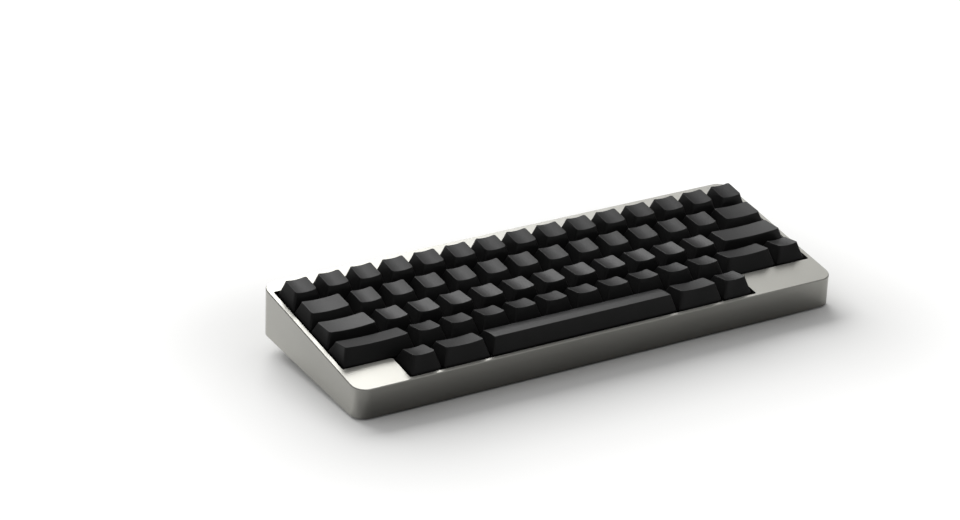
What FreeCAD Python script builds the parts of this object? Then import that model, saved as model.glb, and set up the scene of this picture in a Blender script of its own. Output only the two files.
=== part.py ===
import FreeCAD, Part
import math
import os

Vec = FreeCAD.Vector

# Driving dimensions, in millimetres and degrees.
# The key field is a grid of one-unit squares, and every key stands in it.
key_pitch = 19.05
key_widths = [
    [1.0] * 15,
    [1.5] + [1.0] * 12 + [1.5],
    [1.75] + [1.0] * 11 + [2.25],
    [2.25] + [1.0] * 10 + [1.75, 1.0],
    [1.0, 1.5, 6.0, 1.5, 1.0],
]
left_blank_units = 1.5
row_names = ["number", "tab", "home", "shift", "bottom"]
key_travel = 4.0

# Case: a one-piece wedge with a flat sloping deck.
side_margin = 3.8
front_margin = 3.1
back_margin = 10.8
wedge_angle = 5.6
stand_angle = 4.5
corner_radius = 8.0
edge_break = 0.4
deck_thickness = 3.0
opening_gap = 1.1
opening_corner = 1.0
back_wall = 3.2
blank_corner_wall = 4.4
board_over_cover = 0.77
end_flat = 0.04
past = 1.0

# Bottom cover, its seam at the back and its two ears.
cover_thickness = 2.4
cover_lip = 1.2
cover_gap = 0.15
strip_height = 0.9
seam_gap = 0.5
ear_from_end = 14.7
ear_radius = 4.0
ear_height = 4.4

# Bar under the rear edge, and the rubber under it and under the case.
bar_end_gap = 4.7
bar_screw_gap = 9.0
bar_depth = 14.0
bar_height = 3.5
bar_inset = 0.5
bar_skin = 0.8
stud_radius = 3.0
stud_height = 1.2
rear_foot_radius = 9.0
rear_foot_from_side = 18.0
rear_foot_from_back = 12.0
front_foot_radius = 6.0
front_foot_from_side = 18.0
front_foot_from_front = 12.0
front_lift = 0.6
foot_rounding = 1.2

# Keycaps: a skirt that narrows to a dished top. The heights are over the deck.
cap_gap = 0.45
cap_skirt_drop = 1.0
cap_side_inset = 3.9
cap_wall = 1.5
cap_top_wall = 1.3
cap_base_corner = 1.2
cap_top_corner = 0.8
dish_depth = 0.6
post_radius = 2.75
post_over_neck = 0.6
dish_allowance = 1.5
cap_rows = [
    {"back": 6.75, "front": -5.65, "back_height": 8.15, "front_height": 7.9},
    {"back": 7.0, "front": -5.3, "back_height": 6.3, "front_height": 6.6},
    {"back": 7.6, "front": -5.7, "back_height": 4.8, "front_height": 7.0},
    {"back": 7.1, "front": -4.6, "back_height": 4.8, "front_height": 8.3},
    {"back": 6.9, "front": -4.7, "back_height": 5.1, "front_height": 8.5},
]
space_bar_units = 6.0
stabilised_units = 2.0

# Switches, measured from the top of the plate that they snap into.
plate_depth = 7.6
plate_thickness = 1.5
plate_gap = 0.5
switch_body = 14.0
switch_fit = 0.05
switch_flange = 15.6
flange_thickness = 1.0
board_depth = 5.0
board_thickness = 1.6
housing_height = 6.6
housing_foot = 14.4
housing_top_width = 10.2
housing_top_depth = 9.4
shell_wall = 1.2
taper_wall = 1.0
window_width = 7.6
window_depth = 6.2
slider_width = 8.0
slider_depth = 7.0
slider_gap = 0.2
slider_length = 4.9
slider_roof = 0.5
cross_length = 4.0
cross_bar = 1.3
cross_height = 10.2
cross_gap = 0.05
peg_radius = 1.95
peg_length = 2.4
peg_gap = 0.1
spring_inner_radius = 1.7
spring_wire = 0.5
spring_post_radius = 1.5
spring_post_height = 3.8
spring_bore_gap = 0.3

# Stabilisers of the long keys: a block at each side, joined by a bent wire.
short_stabiliser_reach = 11.9
space_stabiliser_reach = 47.6
stabiliser_wall = 0.8
stabiliser_height = 2.0
stabiliser_stem_width = 4.4
stabiliser_stem_depth = 8.4
stabiliser_stem_foot = 7.3
stabiliser_gap = 0.2
wire_radius = 0.8
wire_arm = 8.0
wire_set_back = 7.95
wire_under_plate = 1.1
wire_start_angle = 25.2
wire_pin_gap = 0.25
wire_pivot_gap = 0.08
wire_pin_reach = 1.4
clip_length = 2.6
clip_over_wire = 0.25

# Screws, the socket for the lead, and the small boards.
screw_radius = 1.25
screw_gap = 0.03
pan_head_radius = 2.25
pan_head_height = 1.6
flat_head_radius = 2.35
flat_head_height = 1.3
hex_socket = 1.5
hex_depth = 0.9
screw_length = 5.0
screw_tip_room = 0.5
head_margin = 0.4
boss_radius = 3.2
tab_half_width = 6.0
tab_screw_reach = 3.4
tab_past_screw = 2.7
rear_tab_spacing = 76.0
cover_post_radius = 4.0
cover_post_from_side = 17.0
cover_post_from_front = 10.0
pillar_half_width = 5.0
pillar_gap = 0.5
socket_from_middle = -73.0
socket_width = 8.94
socket_height = 3.26
socket_length = 7.3
socket_wall = 0.35
socket_recess = 0.6
socket_back = 1.0
tongue_recess = 0.5
slot_width = 10.6
slot_height = 4.3
small_board_width = 20.0
small_board_depth = 12.0
small_board_thickness = 1.2
tongue_width = 6.7
tongue_height = 0.7
link_width = 5.0
ribbon_width = 4.0
ribbon_thickness = 1.0
link_block_depth = 2.5
link_block_height = 2.0
link_from_edge = 1.0
chip_size = 7.0
chip_height = 0.9

# Values that follow from the ones above.
rows = len(key_widths)
units_wide = sum(key_widths[0])
right_blank_units = units_wide - left_blank_units - sum(key_widths[-1])
field_width = units_wide * key_pitch
field_depth = rows * key_pitch
case_width = field_width + 2 * side_margin
deck_length = front_margin + field_depth + back_margin
wedge_sine = math.sin(math.radians(wedge_angle))
wedge_cosine = math.cos(math.radians(wedge_angle))
case_depth = deck_length * wedge_cosine
plate_top = -plate_depth
plate_bottom = plate_top - plate_thickness
board_top = plate_top - board_depth
board_bottom = board_top - board_thickness
front_height = cover_thickness + board_over_cover - board_bottom * wedge_cosine - front_margin * wedge_sine
back_height = front_height + deck_length * wedge_sine
housing_top = plate_top + housing_height
neck_top = housing_top - slider_gap
cross_top = plate_top + cross_height
post_bottom = neck_top + post_over_neck
plate_edge = opening_gap - plate_gap
board_edge = plate_edge - plate_gap
ear_middle = case_width / 2 - ear_from_end
bar_half_length = case_width / 2 - rear_foot_from_side - rear_foot_radius - bar_end_gap
bar_screw_from_middle = abs(socket_from_middle) + small_board_width / 2 + bar_screw_gap
plate_back = (front_margin + field_depth + plate_edge) * wedge_cosine - board_bottom * wedge_sine
pillar_front = plate_back + pillar_gap
wall_in_deck = (case_depth - back_wall + plate_bottom * wedge_sine) / wedge_cosine - front_margin
small_board_top = cover_thickness + small_board_thickness
socket_over_base = small_board_top + socket_height / 2
tall = back_height + 30.0
deep = 60.0


# Placements. The deck frame has its origin at the middle of the key field's front edge,
# with Z square to the deck. The base frame has its origin at the middle of the case's
# front edge, with Z square to the flat underside.
def deck_in_base():
    """The deck frame, seen from the base frame."""
    place = Vec(0, front_margin * wedge_cosine, front_height + front_margin * wedge_sine)
    return FreeCAD.Placement(place, FreeCAD.Rotation(Vec(1, 0, 0), wedge_angle))


def base_on_desk(shift):
    """The base frame on the desk, moved along Y by shift so that the case is centred."""
    return FreeCAD.Placement(Vec(0, shift, front_lift), FreeCAD.Rotation(Vec(1, 0, 0), stand_angle))


def placed(shape, placement):
    """A copy of a shape, carried by a placement."""
    copy = shape.copy()
    copy.transformShape(placement.toMatrix(), True)
    return copy


# Small builders.
def box(x0, x1, y0, y1, z0, z1):
    return Part.makeBox(x1 - x0, y1 - y0, z1 - z0, Vec(x0, y0, z0))


def centred_box(x, y, width, depth, z0, z1):
    return box(x - width / 2, x + width / 2, y - depth / 2, y + depth / 2, z0, z1)


def rod(radius, x, y, z0, z1):
    return Part.makeCylinder(radius, z1 - z0, Vec(x, y, z0))


def upright_edges(shape):
    """The edges of a shape that run along Z."""
    found = []
    for edge in shape.Edges:
        start = edge.Vertexes[0].Point
        end = edge.Vertexes[-1].Point
        if abs(start.x - end.x) < 1e-6 and abs(start.y - end.y) < 1e-6 and abs(start.z - end.z) > 1e-6:
            found.append(edge)
    return found


def prism(points, z0, z1):
    corners = [Vec(x, y, z0) for x, y in points]
    face = Part.Face(Part.makePolygon(corners + [corners[0]]))
    return face.extrude(Vec(0, 0, z1 - z0))


def rounded(shape, radius):
    """A prism with its upright edges rounded."""
    return shape.makeFillet(radius, upright_edges(shape))


def rounded_rectangle(half_width, y0, y1, radius, x=0.0):
    """A closed wire of four lines and four arcs in the plane z = 0."""
    left = x - half_width
    right = x + half_width
    bend = radius * (1 - math.sqrt(0.5))
    stops = [
        (Vec(left + radius, y0, 0), Vec(right - radius, y0, 0), Vec(right - bend, y0 + bend, 0)),
        (Vec(right, y0 + radius, 0), Vec(right, y1 - radius, 0), Vec(right - bend, y1 - bend, 0)),
        (Vec(right - radius, y1, 0), Vec(left + radius, y1, 0), Vec(left + bend, y1 - bend, 0)),
        (Vec(left, y1 - radius, 0), Vec(left, y0 + radius, 0), Vec(left + bend, y0 + bend, 0)),
    ]
    edges = []
    for index, (start, end, middle) in enumerate(stops):
        following = stops[(index + 1) % 4][0]
        edges.append(Part.LineSegment(start, end).toShape())
        edges.append(Part.Arc(end, middle, following).toShape())
    return Part.Wire(edges)


def group(shapes):
    return Part.makeCompound(shapes)


def key_outline(margin):
    """Corner points of the key field, grown by margin, without the two blank front corners."""
    half = field_width / 2
    left_step = -half + left_blank_units * key_pitch - margin
    right_step = half - right_blank_units * key_pitch + margin
    step = key_pitch - margin
    return [
        (left_step, -margin),
        (right_step, -margin),
        (right_step, step),
        (half + margin, step),
        (half + margin, field_depth + margin),
        (-half - margin, field_depth + margin),
        (-half - margin, step),
        (left_step, step),
    ]


def key_table():
    """Every key as its row, width in units, and centre in the deck frame."""
    keys = []
    for row, widths in enumerate(key_widths):
        edge = left_blank_units if row == rows - 1 else 0.0
        for width in widths:
            x = (edge + width / 2 - units_wide / 2) * key_pitch
            y = (rows - row - 0.5) * key_pitch
            keys.append({"row": row, "units": width, "x": x, "y": y})
            edge += width
    return keys


def stabiliser_reach(units):
    """How far the two stabiliser stems stand from the switch, or nothing for a short key."""
    if units == space_bar_units:
        return space_stabiliser_reach
    if units >= stabilised_units:
        return short_stabiliser_reach
    return None


def stem_places(key):
    """The points of a key that have a stem: the switch and any stabilisers."""
    reach = stabiliser_reach(key["units"])
    offsets = [0.0] if reach is None else [0.0, -reach, reach]
    return [(key["x"] + offset, key["y"]) for offset in offsets]


def stabiliser_places(keys):
    """Each stabiliser block as its centre and the side, -1 or 1, that faces away from the switch."""
    found = []
    for key in keys:
        reach = stabiliser_reach(key["units"])
        if reach is not None:
            found.append((key["x"] - reach, key["y"], -1))
            found.append((key["x"] + reach, key["y"], 1))
    return found


def rear_screw_places():
    """Plate screws behind the keys, close to the back wall."""
    y = wall_in_deck - plate_gap - tab_past_screw
    return [(step * rear_tab_spacing, y) for step in (-1.5, -0.5, 0.5, 1.5)]


def corner_screw_places():
    """Plate screws at the two blank corners."""
    half = field_width / 2
    left = -half + left_blank_units * key_pitch - tab_screw_reach
    right = half - right_blank_units * key_pitch + tab_screw_reach
    return [(left, key_pitch / 2), (right, key_pitch / 2)]


def plate_screw_places():
    """All screws that hang the plate from the deck."""
    return rear_screw_places() + corner_screw_places()


def cover_screw_places():
    """Screws from below at the front, in the base frame."""
    x = case_width / 2 - cover_post_from_side
    return [(-x, cover_post_from_front), (x, cover_post_from_front)]


def bar_screw_places():
    """Screws that hold the bar under the cover, in the base frame."""
    y = case_depth - bar_inset - bar_depth / 2
    return [(-bar_screw_from_middle, y), (0.0, y), (bar_screw_from_middle, y)]


def small_board_back():
    return case_depth - back_wall - cover_gap


def small_board_screw_places():
    y = small_board_back() - small_board_depth + pan_head_radius + head_margin
    x = small_board_width / 2 - pan_head_radius - head_margin
    return [(socket_from_middle - x, y), (socket_from_middle + x, y)]


# Case and cover, in the base frame.
def all_above(z):
    """A block that holds all that lies above a height in the deck frame, seen from the base frame."""
    block = centred_box(0, 0, 2 * case_width, 4 * case_depth, z, 2 * tall)
    return placed(block, deck_in_base())


def case_blank():
    """The solid wedge: a rounded prism cut by the deck plane, with its sharp edges broken."""
    block = box(-case_width / 2, case_width / 2, 0, case_depth, 0, tall)
    block = rounded(block, corner_radius)
    block = block.cut(all_above(0))
    uprights = upright_edges(block)
    rims = [edge for edge in block.Edges if not any(edge.isSame(upright) for upright in uprights)]
    return block.makeChamfer(edge_break, rims)


def key_opening():
    opening = rounded(prism(key_outline(opening_gap), -deep, deep), opening_corner)
    return placed(opening, deck_in_base())


def plate_bosses():
    """Short bosses under the deck that the plate is screwed to."""
    bosses = [rod(boss_radius, x, y, plate_top, 0) for x, y in plate_screw_places()]
    return placed(group(bosses), deck_in_base())


def cover_posts():
    """Posts for the front screws, and a pillar behind each ear."""
    posts = [rod(cover_post_radius, x, y, cover_thickness, tall) for x, y in cover_screw_places()]
    for x in (-ear_middle, ear_middle):
        left = x - pillar_half_width
        posts.append(box(left, left + 2 * pillar_half_width, pillar_front, case_depth, cover_thickness, tall))
    return posts


def case_cavity():
    """The hollow under the deck, less the bosses, posts and pillars that stay in it."""
    half = field_width / 2 + opening_gap
    hollow = box(-half, half, blank_corner_wall, case_depth - back_wall, -past, tall)
    hollow = rounded(hollow, opening_corner)
    hollow = hollow.cut(all_above(-deck_thickness))
    for post in cover_posts():
        hollow = hollow.cut(post)
    return hollow.cut(plate_bosses())


def cover_outline(gap, z0, z1):
    """The cover's flat plate, inset in the case walls, smaller all round by gap."""
    inset = cover_lip + gap
    plate = box(-case_width / 2 + inset, case_width / 2 - inset, inset, case_depth - inset, z0, z1)
    return rounded(plate, corner_radius - inset)


def ear(x, gap):
    """An arched ear that rises from the cover into the back wall, grown by gap."""
    front = case_depth - back_wall
    back = case_depth + gap
    radius = ear_radius + gap
    post = box(x - radius, x + radius, front, back, -gap, ear_height)
    arch = Part.makeCylinder(radius, back - front, Vec(x, front, ear_height), Vec(0, 1, 0))
    return post.fuse(arch).removeSplitter()


def rear_strip(gap, z0):
    """The cover's thin rear edge, which shows under the back wall from ear to ear."""
    return box(-ear_middle, ear_middle, case_depth - cover_lip - gap - past, case_depth + gap, z0,
               strip_height + gap)


def usb_slot():
    """The round-ended slot in the back wall that the socket looks out of."""
    length = back_wall + 2 * past
    start = case_depth - back_wall - past
    slot = box(socket_from_middle - slot_width / 2, socket_from_middle + slot_width / 2, start,
               start + length, socket_over_base - slot_height / 2, socket_over_base + slot_height / 2)
    along = [edge for edge in slot.Edges if abs(edge.Length - length) < 1e-6]
    return slot.makeFillet(slot_height / 2 - end_flat, along)


def screw_hole(x, y, z0, z1):
    return rod(screw_radius + screw_gap, x, y, z0, z1)


def ear_screw_hole(x, length):
    start = Vec(x, case_depth + past, ear_height)
    return Part.makeCylinder(screw_radius + screw_gap, length + past, start, Vec(0, -1, 0))


def ear_screw_place(x):
    """An ear screw's place: its head flush with the back face, its shank pointing forwards."""
    return FreeCAD.Placement(Vec(x, case_depth, ear_height), FreeCAD.Rotation(Vec(1, 0, 0), 90))


def top_case():
    """The one-piece metal case, open below."""
    body = case_blank().cut(key_opening()).cut(case_cavity())
    body = body.cut(cover_outline(0.0, -past, cover_thickness))
    body = body.cut(rear_strip(seam_gap, -past))
    for x in (-ear_middle, ear_middle):
        body = body.cut(ear(x, seam_gap))
        body = body.cut(ear_screw_hole(x, screw_length + screw_tip_room))
    body = body.cut(usb_slot())
    for x, y in cover_screw_places():
        body = body.cut(screw_hole(x, y, 0, screw_length + screw_tip_room))
    hole_top = plate_bottom + screw_length + screw_tip_room
    holes = [screw_hole(x, y, plate_bottom, hole_top) for x, y in plate_screw_places()]
    return body.cut(placed(group(holes), deck_in_base()))


def head_sink(gap):
    """The cone of a countersunk head with its flat face at z = 0, pointing up."""
    return Part.makeCone(flat_head_radius + gap, screw_radius + gap, flat_head_height)


def bottom_cover():
    """The flat metal cover with its rear strip and two ears."""
    cover = cover_outline(cover_gap, 0, cover_thickness)
    cover = cover.fuse(rear_strip(0.0, 0))
    for x in (-ear_middle, ear_middle):
        cover = cover.fuse(ear(x, 0.0))
    cover = cover.removeSplitter()
    for x, y in cover_screw_places():
        cover = cover.cut(screw_hole(x, y, -past, tall))
        cover = cover.cut(placed(head_sink(screw_gap), FreeCAD.Placement(Vec(x, y, 0), FreeCAD.Rotation())))
    for x in (-ear_middle, ear_middle):
        cover = cover.cut(ear_screw_hole(x, 2 * back_wall))
        cover = cover.cut(placed(head_sink(screw_gap), ear_screw_place(x)))
    for x, y in bar_screw_places() + small_board_screw_places():
        cover = cover.cut(screw_hole(x, y, -past, tall))
    return cover


def underside_bar():
    """The long round-ended bar under the rear edge."""
    back = case_depth - bar_inset
    bar = box(-bar_half_length, bar_half_length, back - bar_depth, back, -bar_height, 0)
    bar = rounded(bar, bar_depth / 2 - end_flat)
    lower = [edge for edge in bar.Edges if edge.BoundBox.ZMax < -bar_height + 1e-6]
    bar = bar.makeFillet(edge_break, lower)
    for x, y in bar_screw_places():
        bar = bar.cut(screw_hole(x, y, -bar_height + bar_skin, past))
    return bar


# Plate and main board, in the deck frame.
def plate_tabs():
    """Tabs that reach out from the plate to its screws."""
    tabs = []
    for x, y in rear_screw_places():
        left = x - tab_half_width
        tabs.append(box(left, left + 2 * tab_half_width, field_depth, y + tab_past_screw,
                        plate_bottom, plate_top))
    for x, y in corner_screw_places():
        outwards = math.copysign(1.0, x)
        ends = sorted([x - outwards * tab_screw_reach, x + outwards * tab_past_screw])
        tabs.append(box(ends[0], ends[1], y - tab_half_width, y + tab_half_width, plate_bottom, plate_top))
    return tabs


def switch_plate():
    """The plate that the switches snap into, with a tab at each screw."""
    plate = prism(key_outline(plate_edge), plate_bottom, plate_top)
    plate = plate.fuse(plate_tabs()).removeSplitter()
    under = plate_bottom - past
    over = plate_top + past
    cuts = [centred_box(key["x"], key["y"], switch_body, switch_body, under, over) for key in key_table()]
    for x, y, side in stabiliser_places(key_table()):
        cuts.append(stabiliser_cut_out(x, y, side))
    for x, y in plate_screw_places():
        cuts.append(screw_hole(x, y, under, over))
    return plate.cut(group(cuts))


def stabiliser_half_width():
    return stabiliser_stem_width / 2 + stabiliser_gap + stabiliser_wall


def stabiliser_half_depth():
    return stabiliser_stem_depth / 2 + stabiliser_gap + stabiliser_wall


def arm_offset():
    """How far the wire's arm stands from the middle of its stabiliser block."""
    return stabiliser_half_width() + stabiliser_gap + wire_radius


def stabiliser_cut_out(x, y, side):
    """The plate's hole round a stabiliser block and the wire's arm beside it."""
    inner = stabiliser_half_width() + stabiliser_gap
    outer = arm_offset() + wire_radius + stabiliser_gap
    front = y - wire_set_back - wire_radius - stabiliser_gap
    back = y + stabiliser_half_depth() + stabiliser_gap
    left = x - (outer if side < 0 else inner)
    right = x + (outer if side > 0 else inner)
    return box(left, right, front, back, plate_bottom - past, plate_top + past)


def circuit_board():
    """The main board under the switches, with its controller chip below."""
    board = prism(key_outline(board_edge), board_bottom, board_top)
    hole = peg_radius + peg_gap
    cuts = [rod(hole, key["x"], key["y"], board_bottom - past, board_top + past) for key in key_table()]
    board = board.cut(group(cuts))
    chip_bottom = board_bottom - chip_height
    chip = centred_box(0, field_depth - key_pitch, chip_size, chip_size, chip_bottom, board_bottom)
    return group([board, chip])


# Switches, in the deck frame, for a switch at the origin.
def frustum(z0, width0, depth0, z1, width1, depth1):
    lower = Part.makePolygon([Vec(sx * width0 / 2, sy * depth0 / 2, z0)
                              for sx, sy in ((-1, -1), (1, -1), (1, 1), (-1, 1), (-1, -1))])
    upper = Part.makePolygon([Vec(sx * width1 / 2, sy * depth1 / 2, z1)
                              for sx, sy in ((-1, -1), (1, -1), (1, 1), (-1, 1), (-1, -1))])
    return Part.makeLoft([lower, upper], True, True)


def lower_housing():
    """The square cup that snaps into the plate, with its spring post and board peg."""
    body_width = switch_body - 2 * switch_fit
    cup = centred_box(0, 0, body_width, body_width, board_top, plate_top + flange_thickness)
    flange = centred_box(0, 0, switch_flange, switch_flange, plate_top, plate_top + flange_thickness)
    cup = cup.fuse(flange).removeSplitter()
    hollow_width = body_width - 2 * shell_wall
    floor = board_top + shell_wall
    cup = cup.cut(centred_box(0, 0, hollow_width, hollow_width, floor, housing_top))
    post = rod(spring_post_radius, 0, 0, board_top + shell_wall / 2, floor + spring_post_height)
    peg = rod(peg_radius, 0, 0, board_top - peg_length, board_top + shell_wall / 2)
    return cup.fuse(post).fuse(peg).removeSplitter()


def upper_housing():
    """The tapered shell over the slider, with its window."""
    foot = plate_top + flange_thickness
    shell = frustum(foot, housing_foot, housing_foot, housing_top, housing_top_width, housing_top_depth)
    inner_top = housing_top - shell_wall
    hollow = frustum(foot, housing_foot - 2 * shell_wall, housing_foot - 2 * shell_wall, inner_top,
                     housing_top_width - 2 * taper_wall, housing_top_depth - 2 * taper_wall)
    shell = shell.cut(hollow)
    return shell.cut(centred_box(0, 0, window_width, window_depth, inner_top - past, housing_top + past))


def slider_top():
    """Height of the slider's shoulder, just under the upper housing."""
    return housing_top - shell_wall - slider_gap / 2


def cross(gap, z0, z1):
    """The cross-shaped tip of a stem, grown by gap."""
    wide = centred_box(0, 0, cross_length + 2 * gap, cross_bar + 2 * gap, z0, z1)
    long = centred_box(0, 0, cross_bar + 2 * gap, cross_length + 2 * gap, z0, z1)
    return wide.fuse(long).removeSplitter()


def spring_outer_radius():
    return spring_inner_radius + spring_wire


def switch_slider():
    """The moving stem of a switch: a hollow body, a neck in the window and the cross."""
    top = slider_top()
    body = centred_box(0, 0, slider_width, slider_depth, top - slider_length, top)
    neck = centred_box(0, 0, window_width - 2 * slider_gap, window_depth - 2 * slider_gap, top, neck_top)
    stem = body.fuse(neck).fuse(cross(0.0, neck_top, cross_top)).removeSplitter()
    bore_radius = spring_outer_radius() + spring_bore_gap
    bore = rod(bore_radius, 0, 0, top - slider_length - past, top - slider_roof)
    return stem.cut(bore)


def spring_sleeve():
    """The coil spring at its pressed length, round the post of the lower housing."""
    floor = board_top + shell_wall
    top = slider_top() - slider_roof - key_travel - slider_gap
    sleeve = rod(spring_outer_radius(), 0, 0, floor, top)
    return sleeve.cut(rod(spring_inner_radius, 0, 0, floor - past, top + past))


# Stabilisers, in the deck frame, for a block at the origin whose wire arm is on the +X side.
def wire_pivot():
    """The wire's turning axis, as its Y and Z beside a stabiliser block."""
    return -wire_set_back, plate_bottom - wire_under_plate


def pin_at(angle):
    """The middle of the wire's bent end when the arm stands at an angle over the plate."""
    y, z = wire_pivot()
    turn = math.radians(angle)
    return y + wire_arm * math.cos(turn), z + wire_arm * math.sin(turn)


def stabiliser_housing():
    """The block that guides a stabiliser stem, with a slot for the pin and a clip for the wire."""
    half_width = stabiliser_half_width()
    half_depth = stabiliser_half_depth()
    top = plate_top + stabiliser_height
    block = box(-half_width, half_width, -half_depth, half_depth, board_top, top)
    y, z = wire_pivot()
    clip_top = z + wire_radius + clip_over_wire
    clip_front = y - wire_radius - stabiliser_wall
    clip = box(half_width - clip_length, half_width, clip_front, -half_depth, board_top, clip_top)
    block = block.fuse(clip).removeSplitter()
    hollow = centred_box(0, 0, stabiliser_stem_width + 2 * stabiliser_gap,
                         stabiliser_stem_depth + 2 * stabiliser_gap, board_top - past, top + past)
    block = block.cut(hollow)
    bore = wire_radius + wire_pivot_gap
    groove = Part.makeCylinder(bore, 2 * half_width + 2 * past, Vec(-half_width - past, y, z), Vec(1, 0, 0))
    mouth = box(-half_width - past, half_width + past, y - bore, y + bore, z, clip_top + past)
    block = block.cut(groove.fuse(mouth))
    start_y, start_z = pin_at(wire_start_angle)
    reach = wire_radius + wire_pin_gap
    slot = box(stabiliser_stem_width / 2, half_width + past, start_y - reach, pin_at(0)[0] + reach,
               board_top - past, start_z + reach)
    return block.cut(slot)


def stabiliser_stem():
    """The sliding stem of a stabiliser, with its cross and the pocket for the wire's pin."""
    foot = neck_top - stabiliser_stem_foot
    body = centred_box(0, 0, stabiliser_stem_width, stabiliser_stem_depth, foot, neck_top)
    stem = body.fuse(cross(0.0, neck_top, cross_top)).removeSplitter()
    reach = wire_radius + wire_pin_gap
    start_y, start_z = pin_at(wire_start_angle)
    pocket = box(stabiliser_stem_width / 2 - wire_pin_reach - wire_pin_gap, stabiliser_stem_width / 2 + past,
                 start_y - reach, pin_at(0)[0] + reach, start_z - reach, start_z + reach)
    return stem.cut(pocket)


def mirrored(shape, side):
    """A shape as built for side 1, or turned over left to right for side -1."""
    return shape if side > 0 else shape.mirror(Vec(0, 0, 0), Vec(1, 0, 0))


def stabiliser_wire(key):
    """The bent wire of a long key: a bar, two arms and two pins that point inwards."""
    reach = stabiliser_reach(key["units"])
    y, z = wire_pivot()
    pin_y, pin_z = pin_at(wire_start_angle)
    arm_x = reach + arm_offset()
    pin_x = reach + stabiliser_stem_width / 2 - wire_pin_reach
    stops = [Vec(pin_x, pin_y, pin_z), Vec(arm_x, pin_y, pin_z), Vec(arm_x, y, z)]
    stops += [Vec(-stop.x, stop.y, stop.z) for stop in reversed(stops)]
    wire = None
    for start, end in zip(stops, stops[1:]):
        run = Part.makeCylinder(wire_radius, (end - start).Length, start, end - start)
        wire = run if wire is None else wire.fuse(run)
    for stop in stops[1:-1]:
        wire = wire.fuse(Part.makeSphere(wire_radius, stop))
    wire = wire.removeSplitter()
    wire.translate(Vec(key["x"], key["y"], 0))
    return wire


# Keycaps, in the deck frame, for a key whose middle is at the origin.
def cap_section(half_width, front, back, corner, front_height_here, back_height_here):
    """A rounded rectangle whose front and back edges stand at two heights."""
    run = back - front
    rise = back_height_here - front_height_here
    slope = math.atan2(rise, run)
    wire = rounded_rectangle(half_width, 0, math.hypot(run, rise), corner)
    wire.Placement = FreeCAD.Placement(Vec(0, front, front_height_here),
                                       FreeCAD.Rotation(Vec(1, 0, 0), math.degrees(slope)))
    return wire


def cap_loft(key, shell, lift, drop):
    """The tapering body of a cap, thinner by shell all round, its top raised by lift."""
    top = cap_rows[key["row"]]
    half_base = key["units"] * key_pitch / 2 - cap_gap - shell
    depth = key_pitch / 2 - cap_gap - shell
    base_z = -cap_skirt_drop - drop
    full_rise = (top["front_height"] + top["back_height"]) / 2 + cap_skirt_drop
    share = (full_rise + lift) / full_rise
    half_top = half_base - (cap_side_inset - cap_gap) * share
    front = -depth + (top["front"] + key_pitch / 2 - cap_gap) * share
    back = depth + (top["back"] - key_pitch / 2 + cap_gap) * share
    lower = cap_section(half_base, -depth, depth, cap_base_corner, base_z, base_z)
    upper = cap_section(half_top, front, back, cap_top_corner,
                        top["front_height"] + lift, top["back_height"] + lift)
    return Part.makeLoft([lower, upper], True, True)


def dish_cutter(key):
    """What is scooped from the top: a shallow cylinder along the cap, or off the long bar a flat bow."""
    top = cap_rows[key["row"]]
    run = top["back"] - top["front"]
    slope = math.atan2(top["back_height"] - top["front_height"], run)
    middle = Vec(0, (top["back"] + top["front"]) / 2, (top["back_height"] + top["front_height"]) / 2)
    turn = FreeCAD.Rotation(Vec(1, 0, 0), math.degrees(slope))
    half_chord = key["units"] * key_pitch / 2 - cap_side_inset
    reach = 3 * key_pitch
    if key["units"] == space_bar_units:
        half_run = run / 2
        radius = (half_run ** 2 + dish_depth ** 2) / (2 * dish_depth)
        block = centred_box(0, 0, 2 * half_chord + reach, reach, -dish_depth, reach)
        bow = Part.makeCylinder(radius, 2 * half_chord + 2 * reach,
                                Vec(-half_chord - reach, 0, dish_depth - radius), Vec(1, 0, 0))
        return placed(block.cut(bow), FreeCAD.Placement(middle, turn))
    radius = (half_chord ** 2 + dish_depth ** 2) / (2 * dish_depth)
    scoop = Part.makeCylinder(radius, 2 * reach, Vec(0, -reach, radius - dish_depth), Vec(0, 1, 0))
    slab = centred_box(0, 0, 2 * half_chord + reach, 2 * reach, radius - dish_depth, 2 * radius)
    return placed(scoop.fuse(slab), FreeCAD.Placement(middle, turn))


def keycap(key):
    """A hollow keycap with its posts: a tapered skirt, a dished top and a cross hole in each post."""
    outer = cap_loft(key, 0.0, dish_allowance, 0.0).cut(dish_cutter(key))
    dish = 0.0 if key["units"] == space_bar_units else dish_depth
    inner = cap_loft(key, cap_wall, -dish - cap_top_wall, past)
    shell = outer.cut(inner)
    for x, y in stem_places(key):
        post = rod(post_radius, x - key["x"], 0, post_bottom, tall)
        shell = shell.fuse(post.common(outer))
    shell = shell.removeSplitter()
    for x, y in stem_places(key):
        hole = cross(cross_gap, post_bottom - past, cross_top)
        hole.translate(Vec(x - key["x"], 0, 0))
        shell = shell.cut(hole)
    return shell


def key_assembly(key):
    """A keycap with its slider and any stabiliser stems, at its place in the field."""
    solids = [keycap(key), switch_slider()]
    reach = stabiliser_reach(key["units"])
    if reach is not None:
        for side in (-1, 1):
            stem = mirrored(stabiliser_stem(), side)
            stem.translate(Vec(side * reach, 0, 0))
            solids.append(stem)
    return solids


def moved(shape, x, y):
    copy = shape.copy()
    copy.translate(Vec(x, y, 0))
    return copy


# Screws.
def pan_screw(length):
    """A screw that points up from the origin, with a round head below it."""
    shank = rod(screw_radius, 0, 0, 0, length)
    head = rod(pan_head_radius, 0, 0, -pan_head_height, 0)
    screw = head.fuse(shank).removeSplitter()
    return screw.cut(hex_pocket(-pan_head_height))


def flat_screw(length):
    """A countersunk screw that points up, with its flat head face at the origin."""
    screw = head_sink(0.0).fuse(rod(screw_radius, 0, 0, flat_head_height / 2, length)).removeSplitter()
    return screw.cut(hex_pocket(0.0))


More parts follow.
